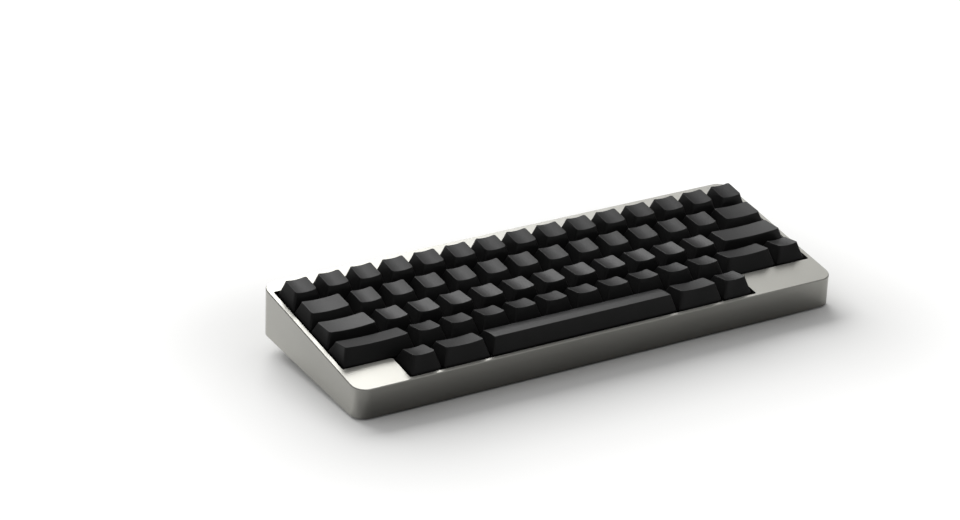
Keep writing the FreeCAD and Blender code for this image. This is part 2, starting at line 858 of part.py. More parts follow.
def hex_pocket(z):
    """The six-sided hole for the driver, from height z upwards."""
    corner = hex_socket / math.sqrt(3)
    points = [(corner * math.cos(math.radians(60 * step)), corner * math.sin(math.radians(60 * step)))
              for step in range(6)]
    return prism(points, z - past, z + hex_depth)


def screws():
    """Every screw, in the base frame: plate, cover, ears, bar and small board."""
    found = []
    for x, y in plate_screw_places():
        place = FreeCAD.Placement(Vec(x, y, plate_bottom), FreeCAD.Rotation())
        found.append(placed(pan_screw(screw_length), deck_in_base().multiply(place)))
    for x, y in cover_screw_places():
        found.append(placed(flat_screw(screw_length), FreeCAD.Placement(Vec(x, y, 0), FreeCAD.Rotation())))
    for x in (-ear_middle, ear_middle):
        found.append(placed(flat_screw(screw_length), ear_screw_place(x)))
    over = FreeCAD.Rotation(Vec(1, 0, 0), 180)
    for x, y in bar_screw_places():
        found.append(placed(pan_screw(screw_length), FreeCAD.Placement(Vec(x, y, cover_thickness), over)))
    for x, y in small_board_screw_places():
        place = FreeCAD.Placement(Vec(x, y, small_board_top), over)
        found.append(placed(pan_screw(small_board_top - screw_tip_room), place))
    return found


# Socket for the lead on its small board, in the base frame.
def usb_board():
    """The small board, the socket's shell and tongue, and the flat lead up to the main board."""
    back = small_board_back()
    left = socket_from_middle - small_board_width / 2
    board = box(left, left + small_board_width, back - small_board_depth, back, cover_thickness,
                small_board_top)
    for x, y in small_board_screw_places():
        board = board.cut(screw_hole(x, y, cover_thickness - past, small_board_top + past))
    mouth = case_depth - socket_recess
    end = mouth - socket_length
    inside_width = socket_width - 2 * socket_wall
    inside_height = socket_height - 2 * socket_wall
    shell = socket_tube(socket_width, socket_height, end, mouth)
    shell = shell.cut(socket_tube(inside_width, inside_height, end + socket_back, mouth + past))
    tongue = box(socket_from_middle - tongue_width / 2, socket_from_middle + tongue_width / 2,
                 end + socket_back, mouth - tongue_recess,
                 socket_over_base - tongue_height / 2, socket_over_base + tongue_height / 2)
    return [board, shell, tongue] + board_link()


def socket_tube(width, height, y0, y1):
    """A round-ended bar along Y at the socket's place."""
    x0 = socket_from_middle - width / 2
    bar = box(x0, x0 + width, y0, y1, socket_over_base - height / 2, socket_over_base + height / 2)
    along = [edge for edge in bar.Edges if abs(edge.Length - (y1 - y0)) < 1e-6]
    return bar.makeFillet(height / 2 - end_flat, along)


def board_link():
    """The flat lead from the small board up to the main board, with a block at each end."""
    x = socket_from_middle
    y = small_board_back() - small_board_depth + link_block_depth / 2 + link_from_edge
    over_block = all_above(board_bottom - link_block_height)
    block_top = small_board_top + link_block_height
    lower = centred_box(x, y, link_width, link_block_depth, small_board_top, block_top)
    ribbon = centred_box(x, y, ribbon_width, ribbon_thickness, block_top, tall).cut(over_block)
    upper = centred_box(x, y, link_width, link_block_depth, block_top, tall)
    upper = upper.common(over_block).cut(all_above(board_bottom))
    return [lower, ribbon, upper]


# Rubber, built standing on the desk and trimmed by the underside of the case.
def rubber_feet(on_desk):
    """Two tall rear feet, two thin front pads and two studs under the ends of the bar."""
    solids = []
    half = case_width / 2
    above = placed(centred_box(0, case_depth / 2, 2 * case_width, 4 * case_depth, 0, tall), on_desk)
    spots = [
        (half - rear_foot_from_side, case_depth - rear_foot_from_back, rear_foot_radius, foot_rounding),
        (half - front_foot_from_side, front_foot_from_front, front_foot_radius, foot_rounding / 4),
    ]
    for x, y, radius, rounding in spots:
        for side in (-1, 1):
            middle = on_desk.multVec(Vec(side * x, y, 0))
            foot = rod(radius, middle.x, middle.y, 0, tall)
            lower = [edge for edge in foot.Edges if edge.BoundBox.ZMax < 1e-6]
            foot = foot.makeFillet(rounding, lower).cut(above)
            solids.append(foot)
    back = case_depth - bar_inset - bar_depth / 2
    for side in (-1, 1):
        x = side * (bar_half_length - bar_depth / 2)
        solids.append(placed(rod(stud_radius, x, back, -bar_height - stud_height, -bar_height), on_desk))
    return solids


def save(name, shapes):
    """Write one sub-part as parts/NAME.step."""
    shape = shapes[0] if len(shapes) == 1 else group(shapes)
    shape.exportStep("parts/" + name + ".step")
    print(name, len(shape.Solids), "solids, valid" if shape.isValid() else "solids, NOT VALID")


def key_name(row, index, key):
    """A key's node name: its row and place, or its own name where it is a long key."""
    if key["units"] == space_bar_units:
        return "key_space_bar"
    return "key_%s_%02d" % (row_names[row], index + 1)


def build():
    os.makedirs("parts", exist_ok=True)
    case = top_case()
    flat = placed(case, base_on_desk(0.0)).BoundBox
    on_desk = base_on_desk(-(flat.YMin + flat.YMax) / 2)
    deck_on_desk = on_desk.multiply(deck_in_base())
    save("top_case", [placed(case, on_desk)])
    save("bottom_cover", [placed(bottom_cover(), on_desk)])
    save("underside_bar", [placed(underside_bar(), on_desk)])
    save("rubber_feet", rubber_feet(on_desk))
    save("screws", [placed(screw, on_desk) for screw in screws()])
    save("usb_board", [placed(solid, on_desk) for solid in usb_board()])
    save("switch_plate", [placed(switch_plate(), deck_on_desk)])
    save("circuit_board", [placed(solid, deck_on_desk) for solid in circuit_board().SubShapes])
    keys = key_table()
    housings = [lower_housing(), upper_housing()]
    spring = spring_sleeve()
    save("switch_housings", [placed(moved(part, key["x"], key["y"]), deck_on_desk)
                             for key in keys for part in housings])
    save("switch_springs", [placed(moved(spring, key["x"], key["y"]), deck_on_desk) for key in keys])
    block = stabiliser_housing()
    save("stabiliser_housings", [placed(moved(mirrored(block, side), x, y), deck_on_desk)
                                 for x, y, side in stabiliser_places(keys)])
    made = {}
    number_row = []
    place_in_row = [0] * rows
    for key in keys:
        kind = (key["row"], key["units"])
        if kind not in made:
            made[kind] = key_assembly(key | {"x": 0.0, "y": 0.0})
        solids = [placed(moved(solid, key["x"], key["y"]), deck_on_desk) for solid in made[kind]]
        name = key_name(key["row"], place_in_row[key["row"]], key)
        place_in_row[key["row"]] += 1
        if key["row"] == 0:
            number_row += solids
            continue
        save(name, solids)
        if stabiliser_reach(key["units"]) is not None:
            save(name.replace("key_", "wire_"), [placed(stabiliser_wire(key), deck_on_desk)])
    save("keys_number_row", number_row)


build()
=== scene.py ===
import bpy
import math
import numpy as np
from mathutils import Matrix, Vector


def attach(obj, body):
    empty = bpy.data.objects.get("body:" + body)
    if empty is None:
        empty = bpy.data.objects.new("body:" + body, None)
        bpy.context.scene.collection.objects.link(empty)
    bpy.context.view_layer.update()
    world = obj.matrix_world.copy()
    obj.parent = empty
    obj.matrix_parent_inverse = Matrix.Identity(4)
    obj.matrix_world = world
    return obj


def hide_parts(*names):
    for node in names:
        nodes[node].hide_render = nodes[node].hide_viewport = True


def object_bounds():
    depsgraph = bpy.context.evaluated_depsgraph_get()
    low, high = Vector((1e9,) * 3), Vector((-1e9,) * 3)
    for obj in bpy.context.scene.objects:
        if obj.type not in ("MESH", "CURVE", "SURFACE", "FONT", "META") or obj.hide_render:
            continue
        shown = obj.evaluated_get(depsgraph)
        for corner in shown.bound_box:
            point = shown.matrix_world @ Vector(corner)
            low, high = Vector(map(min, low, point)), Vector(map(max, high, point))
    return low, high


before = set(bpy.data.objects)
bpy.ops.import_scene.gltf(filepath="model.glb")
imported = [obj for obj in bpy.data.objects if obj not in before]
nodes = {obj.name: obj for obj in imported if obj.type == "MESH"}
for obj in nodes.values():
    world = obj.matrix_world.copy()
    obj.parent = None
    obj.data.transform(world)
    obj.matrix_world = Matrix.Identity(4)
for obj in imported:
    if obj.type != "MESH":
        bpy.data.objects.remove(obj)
cad_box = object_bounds()


# Top case. One block of aluminium, milled to a wedge with a flat sloping deck, then bead-blasted
# and anodised in a warm grey. The blast leaves a fine even grain, so highlights are wide and soft.
def linear(hex_colour):
    """An sRGB hex colour as linear red, green, blue and alpha: a channel c up to 0.04045 becomes
    c / 12.92, and a higher one ((c + 0.055) / 1.055) to the power 2.4."""
    channels = np.array([int(hex_colour[start:start + 2], 16) for start in (1, 3, 5)]) / 255
    low = channels / 12.92
    high = ((channels + 0.055) / 1.055) ** 2.4
    return (*np.where(channels <= 0.04045, low, high).tolist(), 1.0)


def add(tree, kind, inputs, **settings):
    """Adds a node, sets its properties, and sets or links its inputs by name or number."""
    node = tree.nodes.new(kind)
    for name, value in settings.items():
        setattr(node, name, value)
    for name, value in inputs.items():
        if isinstance(value, bpy.types.NodeSocket):
            tree.links.new(value, node.inputs[name])
        else:
            node.inputs[name].default_value = value
    return node


def new_material(name):
    """A material that has no nodes yet, and its node tree."""
    material = bpy.data.materials.new(name)
    material.use_nodes = True
    material.node_tree.nodes.clear()
    return material, material.node_tree


# Most noise lies between these two values, so they become the two ends of what it changes.
noise_low, noise_high = 0.3, 0.7


def finish(tree, colour, roughness=None, relief=None, rest={}):
    """Closes a material's tree with one surface, made uneven by noise on Object coordinates. Colour is
    two tones and the width of a patch, roughness two values and the width of a grain, and relief the
    depth and width of a bump, with widths and depth in millimetres. Rest holds all other inputs."""
    first_tone, second_tone, patch_width = colour
    drifts = {"colour": (0.0, 1.0, patch_width)}
    if roughness:
        drifts["roughness"] = roughness
    if relief:
        depth, bump_width = relief
        drifts["height"] = (0.0, 1.0, bump_width)
    where = add(tree, "ShaderNodeTexCoord", {}).outputs["Object"]
    drift = {}
    for use, (low, high, width) in drifts.items():
        noise = add(tree, "ShaderNodeTexNoise", {"Vector": where, "Scale": 1000 / width, "Detail": 2.0})
        spread = add(tree, "ShaderNodeMapRange", {"Value": noise.outputs["Fac"], "From Min": noise_low,
                                                  "From Max": noise_high, "To Min": low, "To Max": high})
        drift[use] = spread.outputs["Result"]
    tone = add(tree, "ShaderNodeMix", {"Factor": drift["colour"], 6: first_tone, 7: second_tone},
               data_type="RGBA")
    inputs = {"Base Color": tone.outputs[2], **rest}
    if roughness:
        inputs["Roughness"] = drift["roughness"]
    if relief:
        bump = add(tree, "ShaderNodeBump", {"Height": drift["height"], "Distance": depth / 1000})
        inputs["Normal"] = bump.outputs["Normal"]
    surface = add(tree, "ShaderNodeBsdfPrincipled", inputs)
    add(tree, "ShaderNodeOutputMaterial", {"Surface": surface.outputs[0]})


def dress(names, material):
    """Puts one material in every slot of the named nodes."""
    for name in names:
        for slot in nodes[name].material_slots:
            slot.material = material


# The blast leaves pits about 0.1 mm wide. They are drawn 0.7 mm wide, since a pixel shows 0.54 mm.
metal, tree = new_material("bead-blasted anodised aluminium")
finish(tree, colour=(linear("#aeada7"), linear("#b1b0aa"), 30.0), roughness=(0.292, 0.308, 0.7),
       relief=(0.0025, 0.7), rest={"Metallic": 1.0})
dress(["top_case"], metal)


# Switch plate. Laser-cut steel, black oxide and oiled, screwed under the deck. It shows only as a dark
# satin strip between the caps. The oxide is mottled in patches of 4 mm, and the oil in spots of 2 mm.
plate_steel, tree = new_material("black-oxide steel sheet")
finish(tree, colour=(linear("#2b2b2c"), linear("#343434"), 4.0), roughness=(0.38, 0.5, 2.0),
       rest={"Metallic": 1.0})
dress(["switch_plate"], plate_steel)


# Circuit board. Glass-fibre laminate under a dark green-black solder mask, with its controller below.
# The mask is a thin glossy lacquer over the weave of the glass, and pools in patches of 2 mm.
board_mask, tree = new_material("glass-epoxy laminate with solder mask")
where = add(tree, "ShaderNodeTexCoord", {}).outputs["Object"]
# The threads are 0.5 mm apart, finer than a pixel, so they are drawn 3.1 mm apart: the wave texture has
# a band every pi / (10 * scale) metres. They stand up by 0.01 mm.
weave_scale = 100.0
weave_depth = 0.00001
weave = add(tree, "ShaderNodeTexWave", {"Vector": where, "Scale": weave_scale, "Distortion": 0.0},
            bands_direction="X")
threads = add(tree, "ShaderNodeBump", {"Height": weave.outputs["Fac"], "Distance": weave_depth})
finish(tree, colour=(linear("#0d1a15"), linear("#12231c"), 2.0),
       rest={"Roughness": 0.32, "Coat Weight": 0.3, "Normal": threads.outputs["Normal"]})
dress(["circuit_board"], board_mask)


# Switches and stabiliser blocks. Injection-moulded nylon and polycarbonate, snapped into the plate.
# Moulding leaves them smooth, with slight flow marks 3 mm wide and a skin that varies every millimetre.
switch_plastic, tree = new_material("moulded nylon")
finish(tree, colour=(linear("#1b1b1c"), linear("#242425"), 3.0), roughness=(0.36, 0.44, 1.0))
dress(["switch_housings", "stabiliser_housings"], switch_plastic)


# Springs and stabiliser wires. Hard-drawn spring steel, bright and bent cold. The drawing die leaves
# fine marks about 0.05 mm wide, which are drawn 0.5 mm wide so that they show.
spring_steel, tree = new_material("drawn spring steel")
finish(tree, colour=(linear("#c2c0bb"), linear("#cbc9c4"), 2.0), roughness=(0.2, 0.32, 0.5),
       rest={"Metallic": 1.0})
dress(["switch_springs", "wire_home_13", "wire_shift_01", "wire_space_bar"], spring_steel)


# USB board. A small circuit board behind the slot in the back wall, with a deep-drawn socket shell.
# The shell is drawn as black nickel, and its dark colour is also painted shade: it stands in for the shade
# deep in the slot. Only its dark mouth shows, with the black tongue inside. The marks of drawing are finer
# than a pixel, and are drawn 0.6 mm wide.
shell_steel, tree = new_material("black steel with painted slot shade")
finish(tree, colour=(linear("#2a2a2b"), linear("#333334"), 1.0), roughness=(0.28, 0.38, 0.6),
       rest={"Metallic": 1.0})
dress(["usb_board"], shell_steel)


# Bottom cover, with its two ears and thin rear edge, and the long bar under it. The same aluminium and
# the same blast as the top case. The cover closes the case from below, and three screws hold the bar.
dress(["bottom_cover", "underside_bar"], metal)


# Rubber feet. Moulded nitrile rubber with a matt, slightly dusty skin, pressed in place: two tall feet at
# the back and two thin pads at the front, of dark grey rubber, and two black studs under the bar. The
# dust lies in patches of 4 mm, and the skin of the mould is drawn in bumps of 0.8 mm so that it shows.
rubber, tree = new_material("moulded nitrile rubber")
where = add(tree, "ShaderNodeTexCoord", {}).outputs["Object"]
# The black studs end this far from the middle, in metres, and the grey feet and pads lie beyond.
studs_end = 0.119
sideways = add(tree, "ShaderNodeSeparateXYZ", {0: where}).outputs["X"]
sideways = add(tree, "ShaderNodeMath", {0: sideways}, operation="ABSOLUTE").outputs[0]
is_foot = add(tree, "ShaderNodeMath", {0: sideways, 1: studs_end}, operation="GREATER_THAN").outputs[0]
rubber_tones = []
for stud_tone, foot_tone in (("#1c1b1a", "#484743"), ("#272625", "#52514d")):
    chosen = add(tree, "ShaderNodeMix", {"Factor": is_foot, 6: linear(stud_tone), 7: linear(foot_tone)},
                 data_type="RGBA")
    rubber_tones.append(chosen.outputs[2])
finish(tree, colour=(*rubber_tones, 4.0), roughness=(0.7, 0.85, 1.0), relief=(0.03, 0.8))
dress(["rubber_feet"], rubber)


# Screws. Machined alloy steel, black oxide, with a six-sided hole for the driver. Turned faces leave
# fine rings, so the sheen is a little uneven, drawn here in grains of 0.4 mm.
screw_steel, tree = new_material("black-oxide alloy steel")
finish(tree, colour=(linear("#55534f"), linear("#63615d"), 0.8), roughness=(0.28, 0.4, 0.4),
       rest={"Metallic": 1.0})
dress(["screws"], screw_steel)


# Key stems. Moulded black acetal: each slides in its switch, and ends in a cross that the post under the
# cap grips. A long key has two more, in its stabiliser blocks. All are in one piece with their cap here,
# and have its finish. Sizes are in millimetres, and heights are above the deck.
cross_size = (4.0, 1.3)
cross_hole = (4.1, 1.4)
cross_top = 2.6
neck_size = (7.2, 5.8)
neck_top = -1.2
shoulder_size = (8.0, 7.0)
shoulder_top = -2.3
stem_foot = -7.2
bore_radius = 2.5
bore_top = -2.8
stabiliser_size = (4.4, 8.4)
stabiliser_foot = -8.5
short_reach = 11.9
bar_reach = 47.6
post_radius = 2.75
post_foot = -0.6
notch = 0.4


def cross_outline(long, narrow):
    """Twelve corners of a cross whose arms are long from tip to tip and narrow across."""
    far, near = long / 2, narrow / 2
    return np.array([[far, -near], [far, near], [near, near], [near, far], [-near, far], [-near, near],
                     [-far, near], [-far, -near], [-near, -near], [-near, -far], [near, -far], [near, -near]])


def box_outline(width, depth):
    """A rectangle as twelve points, to match the cross: its inner corners lie on the box's corners, and
    its arms' ends on the sides, at the share notch of half a side from the middle."""
    signs = np.array([[1, -notch], [1, notch], [1, 1], [notch, 1], [-notch, 1], [-1, 1],
                      [-1, notch], [-1, -notch], [-1, -1], [-notch, -1], [notch, -1], [1, -1]])
    return signs * np.array([width / 2, depth / 2])


def round_outline(radius):
    """Twelve points on a circle, in the directions of the cross's corners."""
    corners = cross_outline(*cross_size)
    return radius * corners / np.linalg.norm(corners, axis=1)[:, None]


def tower(levels):
    """Rings of a closed piece stacked from twelve-point outlines, each at its own height. The levels are
    given from the inside of the foot outwards and up, and the rings run the other way."""
    rings = np.array([np.column_stack([outline, np.full(len(outline), z)]) for outline, z in levels])
    return rings[::-1]


def cap_post(height):
    """The round post under a cap, up to a height, with the cross-shaped hole in its foot."""
    hole = cross_outline(*cross_hole)
    rod = round_outline(post_radius)
    return tower([(hole, cross_top), (hole, post_foot), (rod, post_foot), (rod, height)])


bore = round_outline(bore_radius)
body = box_outline(*shoulder_size)
neck = box_outline(*neck_size)
cross = cross_outline(*cross_size)
slider = box_outline(*stabiliser_size)
switch_stem = tower([(bore, bore_top), (bore, stem_foot), (body, stem_foot), (body, shoulder_top),
                     (neck, shoulder_top), (neck, neck_top), (cross, neck_top), (cross, cross_top)])
stabiliser_stem = tower([(slider, stabiliser_foot), (slider, neck_top),
                         (cross, neck_top), (cross, cross_top)])


# Keycaps. Thick injection-moulded PBT, dyed black, with a fine spark-eroded texture on all sides. Each
# is pressed on the cross of its switch stem. They are set out on a 19.05 mm grid, square to the deck.
pitch = 19.05
units_wide = 15.0
row_names = ["number", "tab", "home", "shift", "bottom"]
row_starts = [0.0, 0.0, 0.0, 0.0, 1.5]
row_widths = [
    [1.0] * 15,
    [1.5] + [1.0] * 12 + [1.5],
    [1.75] + [1.0] * 11 + [2.25],
    [2.25] + [1.0] * 10 + [1.75, 1.0],
    [1.0, 1.5, 6.0, 1.5, 1.0],
]
bar_units = 6.0
stabilised_units = 2.0

# The edges of a cap's top in each row, in millimetres from the middle of its key and above the deck.
row_tops = [
    {"back": 7.1, "front": -5.65, "back_height": 8.15, "front_height": 7.9},
    {"back": 7.4, "front": -5.4, "back_height": 6.3, "front_height": 6.6},
    {"back": 7.9, "front": -6.1, "back_height": 4.8, "front_height": 7.0},
    {"back": 7.5, "front": -4.4, "back_height": 4.8, "front_height": 8.3},
    {"back": 7.3, "front": -4.6, "back_height": 5.1, "front_height": 8.5},
]
# Other caps are dished. The space bar bulges instead, from bow_start of the way back to its back edge.
bar_top = {"back": 7.3, "front": -4.6, "back_height": 4.55, "front_height": 6.9}
bow_rise = 1.05
bow_start = 0.4
dish_depth = 0.85

# Gaps, insets, radii and wall thicknesses, in millimetres, and the share by which a side is hollow.
cap_gap = 0.45
side_inset = 3.4
skirt_z = -1.0
base_corner = 1.1
top_corner = 1.3
bar_corner = 0.6
least_corner = 0.2
rim_radius = 0.22
lip_break = 0.2
wall = 1.5
top_wall = 1.3
side_hollow = 0.18

# The mesh: steps round a corner, along a side, over the top and round the rim, the shares of the height
# and of the ceiling at which there is a ring, and the angle in degrees from which an edge is sharp.
corner_steps = 5
side_steps = 10
top_rings = 9
top_share = 0.985
rim_steps = 5
side_shares = (0.97, 0.85, 0.65, 0.45, 0.25, 0.1)
inner_shares = (0.5, 1.0)
ceiling_share = 0.5
sharp_angle = 40

# The deck: tilted by the wedge of the case and the stand of its feet, about the front of the key field.
deck_tilt = math.radians(5.6 + 4.5)
deck_origin = np.array([0.0, -51.7313, 18.0910])
deck_turn = np.array([
    [1.0, 0.0, 0.0],
    [0.0, math.cos(deck_tilt), -math.sin(deck_tilt)],
    [0.0, math.sin(deck_tilt), math.cos(deck_tilt)],
])


def rounded_outline(half_width, front, back, radius):
    """Points round a rectangle with round corners, anticlockwise from above: each corner is its
    centre plus radius times (cos, sin) over a quarter turn, and each side is a straight mix of
    the end of one corner and the start of the next."""
    signs = np.array([[1, -1], [1, 1], [-1, 1], [-1, -1]])
    middle = np.array([0.0, (front + back) / 2])
    half = np.array([half_width, (back - front) / 2])
    turn = np.linspace(0, math.pi / 2, corner_steps + 1)[None, :]
    angle = turn + np.array([-1, 0, 1, 2])[:, None] * math.pi / 2
    centres = (middle + signs * (half - radius))[:, None, :]
    arcs = centres + radius * np.stack([np.cos(angle), np.sin(angle)], -1)
    share = np.linspace(0, 1, side_steps + 1)[1:-1, None]
    sides = arcs[:, -1:, :] * (1 - share) + np.roll(arcs, -1, 0)[:, :1, :] * share
    return np.concatenate([arcs, sides], 1).reshape(-1, 2)


def top_height(points, top, half_top, is_bar):
    """Height of a cap's top: a plane from front edge to back edge, less a cylinder that runs from front
    to back. On the bar the plane is raised, less a cylinder that falls towards the back edge. At the
    distance d from its crest a cylinder has sunk by R - sqrt(R * R - d * d), where
    R = (half chord squared + depth squared) / (2 * depth)."""
    run = top["back"] - top["front"]
    from_front = points[..., 1] - top["front"]
    plane = top["front_height"] + (top["back_height"] - top["front_height"]) * (from_front / run)
    if is_bar:
        depth, half = bow_rise, run * (1 - bow_start)
        across = np.maximum(from_front - run * bow_start, 0)
    else:
        depth, half = dish_depth, half_top
        across = points[..., 0]
    radius = (half ** 2 + depth ** 2) / (2 * depth)
    sunk = radius - np.sqrt(radius ** 2 - np.clip(across, -half, half) ** 2)
    return plane + (depth - sunk if is_bar else sunk - depth)


def cap_rings(units, top, is_bar):
    """Rings of points over a hollow cap, from the middle of the top outwards, down the outside, round
    the lip and up the inside. A ring is a rounded outline between the base's (share 0) and the top's
    (share 1); the outer wall draws in a little more halfway up, as share + hollow * share * (1 - share)."""
    base_half = units * pitch / 2 - cap_gap
    base_depth = pitch / 2 - cap_gap
    half_top = units * pitch / 2 - side_inset
    middle = np.array([0.0, (top["front"] + top["back"]) / 2])
    height = (top["front_height"] + top["back_height"]) / 2 - skirt_z
    corner = bar_corner if is_bar else top_corner
    ceiling = top_wall + (0 if is_bar else dish_depth)

    def outline(share, inset, hollow=side_hollow):
        lean = share + hollow * share * (1 - share)
        return rounded_outline(base_half + (half_top - base_half) * lean - inset,
                               -base_depth + (top["front"] + base_depth) * lean + inset,
                               base_depth + (top["back"] - base_depth) * lean - inset,
                               max(base_corner + (corner - base_corner) * lean - inset, least_corner))

    def on_top(points, drop):
        return np.column_stack([points, top_height(points, top, half_top, is_bar) - drop])

    rings = []
    rim = outline(1.0, rim_radius)
    for share in np.linspace(0, 1, top_rings + 1)[1:] * top_share:
        rings.append(on_top(middle + (rim - middle) * share, 0.0))
    for angle in np.linspace(math.pi / 2, 0, rim_steps + 1):
        drop = rim_radius * (1 - math.sin(angle))
        rings.append(on_top(outline(1 - drop / height, rim_radius * (1 - math.cos(angle))), drop))
    for share in (*side_shares, lip_break / height):
        points = outline(share * (1 - rim_radius / height), 0.0)
        edge_height = top_height(points, top, half_top, is_bar) - rim_radius
        rings.append(np.column_stack([points, skirt_z + share * (edge_height - skirt_z)]))
    for inset in (lip_break, wall):
        points = outline(0.0, inset)
        rings.append(np.column_stack([points, np.full(len(points), skirt_z)]))
    for share in inner_shares:
        points = outline(share * (1 - ceiling / height), wall, 0.0)
        plane = np.interp(points[:, 1], [top["front"], top["back"]],
                          [top["front_height"], top["back_height"]]) - ceiling
        rings.append(np.column_stack([points, skirt_z + share * (plane - skirt_z)]))
    inner = rings[-1]
    centre = inner.mean(0)
    rings.append(centre + (inner - centre) * ceiling_share)
    return np.array(rings)


def closed_surface(rings):
    """A closed surface through rings of equally many points, each end shut by a fan of triangles to
    the middle of its ring. Point p of ring r has the number r * count + p."""
    levels, count, _ = rings.shape
    points = np.concatenate([rings.reshape(-1, 3), rings[0].mean(0)[None], rings[-1].mean(0)[None]])
    here = np.arange(count)
    after = np.roll(here, -1)
    level = np.arange(levels - 1)[:, None] * count
    walls = np.stack([level + here, level + count + here, level + count + after, level + after], -1)
    last = (levels - 1) * count
    first_fan = np.stack([np.full(count, levels * count), here, after], -1)
    last_fan = np.stack([np.full(count, levels * count + 1), last + after, last + here], -1)
    return points, walls.reshape(-1, 4), np.concatenate([first_fan, last_fan])


def key_object(name, surfaces, material):
    """One object from closed surfaces in metres, smooth but for its sharp edges."""
    points, walls, fans, count = [], [], [], 0
    for ring_points, quads, triangles in surfaces:
        points.append(ring_points)
        walls.append(quads + count)
        fans.append(triangles + count)
        count += len(ring_points)
    mesh = bpy.data.meshes.new(name)
    faces = np.concatenate(walls).tolist() + np.concatenate(fans).tolist()
    mesh.from_pydata(np.concatenate(points).tolist(), [], faces)
    mesh.polygons.foreach_set("use_smooth", np.ones(len(mesh.polygons), bool))
    mesh.set_sharp_from_angle(angle=math.radians(sharp_angle))
    mesh.materials.append(material)
    key = bpy.data.objects.new(name, mesh)
    bpy.context.scene.collection.objects.link(key)
    return key


# The texture is about 0.15 mm across, and is drawn at 0.6 mm, so that it shows at one pixel. It makes the
# sheen soft and satin, and scatters a part of it, so the specular level is half of a polished piece's.
cap_plastic, tree = new_material("spark-textured black PBT")
finish(tree, colour=(linear("#141414"), linear("#181818"), 12.0), roughness=(0.34, 0.4, 0.6),
       relief=(0.01, 0.6), rest={"Specular IOR Level": 0.26})

for row, widths in enumerate(row_widths):
    from_left = row_starts[row]
    for column, units in enumerate(widths):
        is_bar = units == bar_units
        top = bar_top if is_bar else row_tops[row]
        post_top = (top["front_height"] + top["back_height"] - top_wall) / 2 - (0 if is_bar else dish_depth)
        layers = [cap_rings(units, top, is_bar), cap_post(post_top), switch_stem]
        if units >= stabilised_units:
            reach = bar_reach if is_bar else short_reach
            for side in (-1, 1):
                shift = np.array([side * reach, 0.0, 0.0])
                layers += [cap_post(post_top) + shift, stabiliser_stem + shift]
        key_x = (from_left + units / 2 - units_wide / 2) * pitch
        key_y = (len(row_widths) - row - 0.5) * pitch
        from_left += units
        middle = np.array([key_x, key_y, 0.0])
        surfaces = [closed_surface(((layer + middle) @ deck_turn.T + deck_origin) / 1000) for layer in layers]
        name = "space_bar" if is_bar else "%s_%02d" % (row_names[row], column + 1)
        node = "keys_number_row" if row == 0 else "key_" + name
        key = key_object("cap_" + name, surfaces, cap_plastic)
        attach(key, node)
        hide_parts(node)


# Floor. A wide sheet of pale matt paper, which takes the keyboard's soft shadow. Away from the part it also
# glows, up to far_glow over glow_reach metres, and far in front by front_glow more, so it ends in plain
# white. The glow is least next to the part, so it also paints shade round the part, beyond its real shadow.
# Only the camera and reflections see the glow.
floor_half = 8.0
core_half = (0.11, (cad_box[1][1] - cad_box[0][1]) / 2, 0.0)
glow_reach = 0.13
far_glow = 0.32
front_from, front_to = -0.4, -3.0
front_glow = 0.4


def seen_itself(tree):
    """1 where a ray comes from the camera, a reflection or a clear piece, and 0 where it gathers light."""
    ray = add(tree, "ShaderNodeLightPath", {}).outputs
    seen = ray["Is Camera Ray"]
    for other in ("Is Glossy Ray", "Is Transmission Ray"):
        seen = add(tree, "ShaderNodeMath", {0: seen, 1: ray[other]}, operation="MAXIMUM").outputs[0]
    return seen


floor_mesh = bpy.data.meshes.new("studio_floor")
corners = [(-floor_half, -floor_half, 0), (floor_half, -floor_half, 0), (floor_half, floor_half, 0),
           (-floor_half, floor_half, 0)]
floor_mesh.from_pydata(corners, [], [(0, 1, 2, 3)])
floor = bpy.data.objects.new("studio_floor", floor_mesh)
bpy.context.scene.collection.objects.link(floor)

# The distance from the core, a box about the part, is the length of max(|where| - core_half, 0).
sheet, tree = new_material("pale matt paper")
where = add(tree, "ShaderNodeTexCoord", {}).outputs["Object"]
away = add(tree, "ShaderNodeVectorMath", {0: where}, operation="ABSOLUTE").outputs[0]
away = add(tree, "ShaderNodeVectorMath", {0: away, 1: core_half}, operation="SUBTRACT").outputs[0]
away = add(tree, "ShaderNodeVectorMath", {0: away, 1: (0.0, 0.0, 0.0)}, operation="MAXIMUM").outputs[0]
away = add(tree, "ShaderNodeVectorMath", {0: away}, operation="LENGTH").outputs["Value"]
# The glow grows with the distance from the part, so next to it the floor is painted darker: painted shade
# round the part.
far = add(tree, "ShaderNodeMapRange", {"Value": away, "From Min": 0.0, "From Max": glow_reach,
                                       "To Min": 0.0, "To Max": far_glow}, interpolation_type="SMOOTHSTEP")
backwards = add(tree, "ShaderNodeSeparateXYZ", {0: where}).outputs["Y"]
front = add(tree, "ShaderNodeMapRange", {"Value": backwards, "From Min": front_from, "From Max": front_to,
                                         "To Min": 0.0, "To Max": front_glow})
both = add(tree, "ShaderNodeMath", {0: far.outputs["Result"], 1: front.outputs["Result"]}, operation="ADD")
strength = add(tree, "ShaderNodeMath", {0: seen_itself(tree), 1: both.outputs[0]}, operation="MULTIPLY")
paper = add(tree, "ShaderNodeBsdfDiffuse", {"Color": linear("#e9e9e8")})
glow = add(tree, "ShaderNodeEmission", {"Color": linear("#ffffff"), "Strength": strength.outputs[0]})
glowing_paper = add(tree, "ShaderNodeAddShader", {0: paper.outputs[0], 1: glow.outputs[0]})
add(tree, "ShaderNodeOutputMaterial", {"Surface": glowing_paper.outputs[0]})
floor_mesh.materials.append(sheet)


# Room and lamps. A plain room, dim in front of the keyboard and bright behind it, which is white where it
# is seen itself. A large soft box hangs high behind the keyboard, and a second lamp in its place adds
# light that reflections leave out.
room_dim, room_bright = 0.05, 0.75
dim_at, bright_at = -1.0, 0.6
box_place = Vector((0.396, 4.898, 3.442))
box_width, box_height = 5.24, 3.26
box_radiance, fill_radiance = 3.5, 2.9

